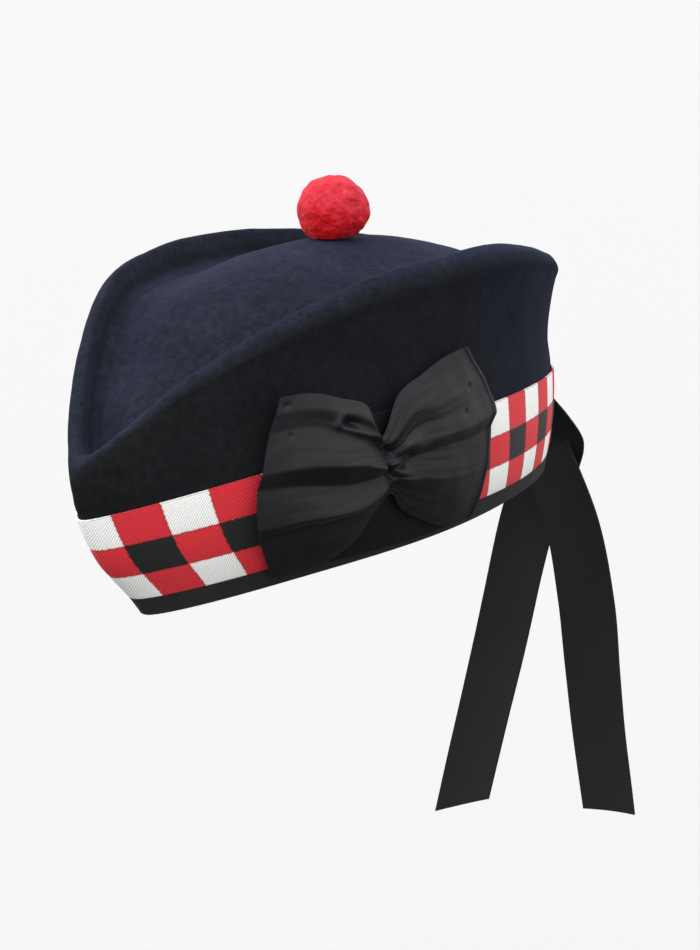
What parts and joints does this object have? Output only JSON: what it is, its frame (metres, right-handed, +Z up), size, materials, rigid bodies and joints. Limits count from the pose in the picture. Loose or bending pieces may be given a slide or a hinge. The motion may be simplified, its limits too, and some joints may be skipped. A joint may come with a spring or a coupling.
{
  "type": "glengarry cap",
  "caption": "Boat-shaped felt cap with creased front and back, ridged crown, diced band, ribbon rosette, wool pompom and two hanging ribbon tails.",
  "frame": {"origin": "middle of the head opening, just under the rim at its front crease", "axes": "+Z up out of the crown, -Y to the front crease, +X to the wearer's left, where the rosette is"},
  "size_m": [0.136, 0.3016, 0.3169],
  "materials": {
    "navy_felt": "dense brushed wool felt",
    "diced_tape": "woven wool tape in red, white and black",
    "black_ribbon": "ribbed ribbon with a soft sheen",
    "red_wool": "clipped wool yarn"
  },
  "bodies": {
    "root": {"side_left": "navy_felt", "side_right": "navy_felt", "crown_top": "navy_felt", "dice_band": "diced_tape", "rim_binding": "black_ribbon", "rosette_backing": "black_ribbon", "rosette_bow": "black_ribbon", "toorie": "red_wool", "tail_left": "black_ribbon", "tail_right": "black_ribbon", "tail_fold": "black_ribbon"}
  },
  "joints": []
}
